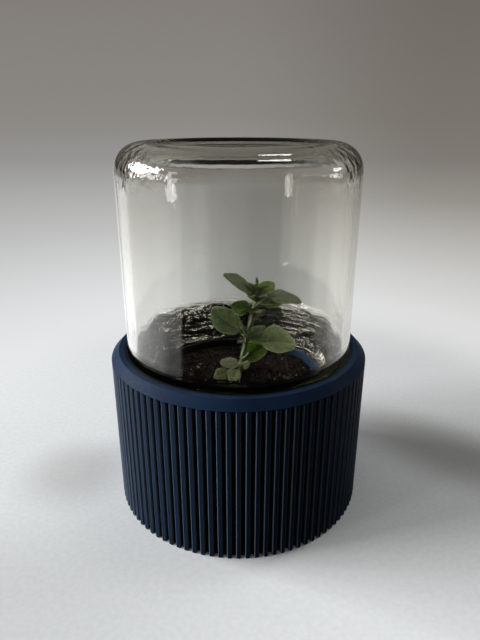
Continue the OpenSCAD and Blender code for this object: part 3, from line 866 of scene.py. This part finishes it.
navy = printed_plastic("printed_navy_pla", "#12243d", "#172b46", ribs=("#1b2b43", "#6b7784"))
navy_cup = printed_plastic("printed_navy_pla_cup", "#1f2e40", "#26374b", back_left_dark="#0b0a09")
glass = soda_glass("pressed_soda_glass")
compost = potting_mix("damp_potting_mix")
chalk = mineral("perlite_and_grit")
green = downy_leaf("downy_green_leaf", "#2c351a", "#3e4826", "#545d38", "#697252")
brighter_green = downy_leaf("downy_brighter_leaf", "#4f5d2f", "#66743f", "#808c58", "#969f76")
pale_green = downy_leaf("downy_pale_leaf", "#757e50", "#8c9467", "#a2a981", "#b0b697")
deep_green = downy_leaf("downy_deep_leaf", "#1d270e", "#2c3814", "#434f28", "#59643d")
down = silvery_down("silvery_plant_down")
stalk_green = downy_leaf("downy_stem", "#575c40", "#6d7152", "#848968", "#989c80")

for node_name, material in (("ribbed_base", navy), ("planting_cup", navy_cup)):
    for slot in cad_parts[node_name].material_slots:
        slot.material = material

dress(glass_jar(), glass, "jar_glass", "jar", "mason_jar")
bed, crumbs = loose_soil()
dress(bed, compost, "soil", "cup", "potting_soil")
dress(crumbs, compost, "soil", "cup")
dress(pale_grit(), chalk, "grit", "cup", "pale_grains")
stalk = stem()
dress(stalk, stalk_green, "stem", "cup", "seedling_stem")
dress(hairs(stalk, 2600, 0.8, 0.5), down, "stem", "cup")
for leaf_name, numbers in (leaves | young_leaves).items():
    pale = leaf_name in pale_leaves
    finish = pale_green if pale else brighter_green if leaf_name in brighter_leaves else green
    finish = deep_green if leaf_name in deep_leaves else finish
    blade = leaf(leaf_name, numbers)
    stands_for = [leaf_name] if leaf_name in leaves else []
    dress(blade, finish, "pale_leaf" if pale else "leaf", "cup", *stands_for)
    dress(hairs(blade, int(1500 * numbers[1]), 0.5, 0.8), down, "leaf", "cup")

# The camera: close to the object, a little above it, as the photograph was taken
camera_back = 203.6
camera_h = 154.6
camera_tilt = 21.21
camera = bpy.data.objects.new("camera", bpy.data.cameras.new("camera"))
bpy.context.collection.objects.link(camera)
camera.location = (0, -camera_back * MM, camera_h * MM)
camera.rotation_euler = (math.radians(90 - camera_tilt), 0, 0)
camera.data.lens = 29.54
camera.data.sensor_width = 36
camera.data.shift_x = 0.0023
camera.data.clip_start = 0.01
camera.data.clip_end = 200
bpy.context.scene.camera = camera


def two_sides(tree, share, left, right):
    """Two colour ramps over one source, mixed from the picture's left to its right by share."""
    return blend(tree, span(tree, share, -0.05, 0.36), ramp(tree, *left), ramp(tree, *right))


def pale_floor():
    """A wide floor: pale cloth near the object, which fades into a sweep that darkens far off.

    In mirrorings, and as light, it is dark in front of the object and to the right of that, where
    the photographer stands in the light's way. Behind the object, seen through its glass, it is
    darker in the middle, as in the photograph. The cloth carries a painted shadow to the right of
    the base and a fainter painted shade to its left, and in front painted light and shade take its
    tone from darker at the left to paler at the right.
    """
    size = 40.0
    points = np.array([[-size, -size, 0], [size, -size, 0], [size, size, 0], [-size, size, 0]])
    floor = mesh_piece("pale_floor", points, np.arange(4), np.array([4]))
    material, tree, shader, place = new_material("pale_cloth")
    parts = add(tree, "ShaderNodeSeparateXYZ", links={0: place})
    far = add(tree, "ShaderNodeVectorMath", {"operation": "LENGTH"}, {0: place}).outputs["Value"]
    away = sums(tree, "ADD", far, camera_back * MM)
    slope = sums(tree, "DIVIDE", camera_h * MM, away)
    aside = sums(tree, "DIVIDE", parts.outputs["X"], away)
    sweep = two_sides(tree, aside, (slope, [
        (0.0, "#8b8884"), (0.07, "#969593"), (0.135, "#aeaead"), (0.2, "#c1c1c1"),
        (0.265, "#d3d5d5"), (0.33, "#e0e2e4"), (0.4, "#e6e8ea"), (0.5, "#d8dcde"),
    ]), (slope, [
        (0.0, "#79746d"), (0.07, "#7f7a75"), (0.135, "#95928c"), (0.2, "#b5b3af"),
        (0.27, "#cececc"), (0.33, "#dddddd"), (0.4, "#dddddd"), (0.5, "#d8dcde"),
    ]))  # fmt: skip
    path = add(tree, "ShaderNodeLightPath")
    mirrored = sums(tree, "MINIMUM", path.outputs["Glossy Depth"], 1.0)
    turned_back = sums(tree, "MAXIMUM", mirrored, path.outputs["Is Diffuse Ray"])
    onward = sums(tree, "SUBTRACT", 1.0, turned_back)
    straight_on = sums(tree, "MULTIPLY", onward, path.outputs["Is Transmission Ray"])
    off_middle = sums(tree, "ABSOLUTE", sums(tree, "SUBTRACT", aside, 0.05))
    behind = sums(tree, "MULTIPLY", straight_on, span(tree, parts.outputs["Y"], 0.08, 0.2))
    middle = sums(tree, "MULTIPLY", behind, span(tree, off_middle, 0.01, 0.21, 1, 0))
    veil = ramp(tree, slope, [(0.07, "#f4f4f4"), (0.14, "#cdcdcb"), (0.2, "#c4c4c3"), (0.33, "#b0b0b0")])
    shown = blend(tree, middle, sweep, blend(tree, 1.0, sweep, veil, "MULTIPLY"))
    gain = sums(tree, "MULTIPLY_ADD", mirrored, span(tree, aside, -0.3, 0.3, 0.7, 0.0), 1.0)
    glow = add(tree, "ShaderNodeEmission", links={"Color": shown, "Strength": gain}).outputs[0]
    fibre = add(tree, "ShaderNodeTexNoise", {"Scale": 500, "Detail": 3}, {"Vector": place}).outputs["Fac"]
    cloth = blend(tree, span(tree, fibre, 0.3, 0.7), "#dcdfe1", "#e2e5e6")
    # A painted shadow on the cloth to the right of the base, where the cast shadow is deepest
    dip = add(tree, "ShaderNodeMapping", {
        "vector_type": "TEXTURE", "Location": (0.103, 0.016, 0), "Rotation": (0, 0, math.radians(-38)),
        "Scale": (2.1, 1, 1),
    }, {0: place})  # fmt: skip
    from_painted_shadow = add(tree, "ShaderNodeVectorMath", {"operation": "LENGTH"}, {0: dip.outputs[0]})
    cloth = blend(tree, span(tree, from_painted_shadow.outputs["Value"], 0.005, 0.036, 0.52, 0.0), cloth, "#5a5149")
    # A fainter painted shade on the cloth to the left of the base
    from_left_painted_shade = add(tree, "ShaderNodeVectorMath", {"operation": "DISTANCE", 1: (-0.076, 0, 0)}, {0: place})
    cloth = blend(tree, span(tree, from_left_painted_shade.outputs["Value"], 0.006, 0.034, 0.25, 0.0), cloth, "#574f48")
    # Painted light and shade: in front the cloth is painted darker to the left and paler to the right
    sideways = span(tree, parts.outputs["X"], -0.09, 0.05, -0.15, 0.2)
    painted_light_scale = sums(tree, "MULTIPLY_ADD", sideways, span(tree, parts.outputs["Y"], -0.02, -0.07), 1.0)
    cloth = add(tree, "ShaderNodeVectorMath", {"operation": "SCALE"}, {0: cloth, "Scale": painted_light_scale}).outputs[0]
    tree.links.new(cloth, shader.inputs["Base Color"])
    shader.inputs["Roughness"].default_value = 0.9
    shader.inputs["Specular IOR Level"].default_value = 0.1
    mixed = add(tree, "ShaderNodeMixShader", links={
        0: span(tree, far, 0.16, 0.24), 1: shader.outputs[0], 2: glow
    }).outputs[0]  # fmt: skip
    right = sums(tree, "MULTIPLY", sums(tree, "MAXIMUM", parts.outputs["X"], 0.0), 0.35)
    turn = sums(tree, "DIVIDE", sums(tree, "SUBTRACT", parts.outputs["Y"], right), far)
    zone = ramp(tree, sums(tree, "MULTIPLY_ADD", turn, 0.5, 0.5), [
        (0.175, "#ffffff"), (0.2, "#bcbcbc"), (0.285, "#bcbcbc"), (0.335, "#000000")
    ])  # fmt: skip
    front = sums(tree, "MULTIPLY", turned_back, zone)
    front = sums(tree, "MULTIPLY", front, span(tree, path.outputs["Glossy Depth"], 1.0, 2.0, 1.0, 0.4))
    shade = add(tree, "ShaderNodeEmission", {"Color": linear("#151413")}).outputs[0]
    faced = add(tree, "ShaderNodeMixShader", links={0: front, 1: mixed, 2: shade}).outputs[0]
    tree.links.new(faced, tree.nodes["Material Output"].inputs["Surface"])
    floor.data.materials.append(material)


def room():
    """Light from the left, the back and above, and what the camera, glass and gloss see."""
    world = bpy.data.worlds.new("room")
    bpy.context.scene.world = world
    world.use_nodes = True
    tree = world.node_tree
    way = add(tree, "ShaderNodeTexCoord").outputs["Generated"]
    parts = add(tree, "ShaderNodeSeparateXYZ", links={0: way})
    up = parts.outputs["Z"]
    wall = two_sides(tree, parts.outputs["X"], (up, [
        (0.0, "#8b8884"), (0.17, "#837e7a"), (0.4, "#7b7871"), (1.0, "#5c5a54")
    ]), (up, [
        (0.0, "#79746d"), (0.17, "#716b66"), (0.4, "#68645d"), (1.0, "#4c4a45")
    ]))  # fmt: skip
    path = add(tree, "ShaderNodeLightPath")
    mirrored = sums(tree, "MINIMUM", path.outputs["Glossy Depth"], 1.0)
    low = sums(tree, "MULTIPLY", mirrored, span(tree, up, 0.12, 0.42, 0.62, 0.0))
    wall = blend(tree, low, wall, "#2b2a22")
    front = sums(tree, "MULTIPLY", mirrored, span(tree, parts.outputs["Y"], -0.1, -0.75))
    front = sums(tree, "MULTIPLY", front, span(tree, up, 0.1, 0.6, 1.0, 0.55))
    seen = blend(tree, front, wall, "#3a382f")
    # Painted glints: two patches of the sky, far brighter than the rest, which only mirrored rays
    # inside the jar see, so that the wavy back of the jar shows bright streaks
    glint_gain = 900.0
    inside = sums(tree, "MULTIPLY", mirrored, span(tree, path.outputs["Transmission Depth"], 3.0, 4.0))
    glints = 1.0
    for toward in ((0.42, 0.04, 0.91), (-0.70, 0.06, 0.71)):
        towards = {"operation": "DOT_PRODUCT", 1: toward}
        near = add(tree, "ShaderNodeVectorMath", towards, {0: way}).outputs["Value"]
        near = sums(tree, "MULTIPLY", inside, span(tree, near, 0.965, 0.985, 0.0, glint_gain))
        glints = sums(tree, "ADD", near, glints)
    view = add(tree, "ShaderNodeBackground", links={"Color": seen, "Strength": glints}).outputs[0]
    facing = add(tree, "ShaderNodeVectorMath", {"operation": "DOT_PRODUCT", 1: (-0.6, 0.55, 0.58)}, {0: way})
    bright = span(tree, facing.outputs["Value"], -0.5, 0.9, 0.05, 0.38)
    plain = add(tree, "ShaderNodeBackground", {"Color": linear("#f2f0ec")}, {"Strength": bright}).outputs[0]
    looks = sums(tree, "MAXIMUM", path.outputs["Is Camera Ray"], path.outputs["Is Glossy Ray"])
    looks = sums(tree, "MAXIMUM", looks, path.outputs["Is Transmission Ray"])
    mixed = add(tree, "ShaderNodeMixShader", links={0: looks, 1: plain, 2: view}).outputs[0]
    tree.links.new(mixed, tree.nodes["World Output"].inputs["Surface"])


def window(name, azimuth, rise, distance, width, height, power):
    """A soft rectangular lamp that faces the jar. Azimuth 0 is behind it, and 90 is to its right."""
    lamp = bpy.data.lights.new(name, "AREA")
    lamp.shape = "RECTANGLE"
    lamp.size = width
    lamp.size_y = height
    lamp.energy = power
    holder = bpy.data.objects.new(name, lamp)
    bpy.context.collection.objects.link(holder)
    a, e = math.radians(azimuth), math.radians(rise)
    way = np.array([math.sin(a) * math.cos(e), math.cos(a) * math.cos(e), math.sin(e)])
    target = np.array([0, 0, 0.08])
    holder.location = target + way * distance
    holder.rotation_mode = "QUATERNION"
    holder.rotation_quaternion = Vector(way).to_track_quat("Z", "Y")


pale_floor()
room()
for column, azimuth in enumerate((-71, -79, -87)):
    for row, rise in enumerate((15, 24)):
        window(f"left_window_pane_{column}_{row}", azimuth, rise, 1.55, 0.17, 0.20, 3.6)
window("left_window_middle_pane", -100, 20, 1.55, 0.41, 0.44, 13)
window("left_window_far_pane", -121, 10, 0.8, 0.11, 0.44, 0.95)
window("right_strip", 132, 4, 0.4, 0.010, 0.09, 0.0016)
window("right_lamp", 82, 17, 1.5, 0.32, 0.18, 1.8)
window("ceiling_lamp", 60, 71, 1.5, 0.15, 0.42, 2.6)
bpy.context.scene.view_settings.view_transform = "Standard"
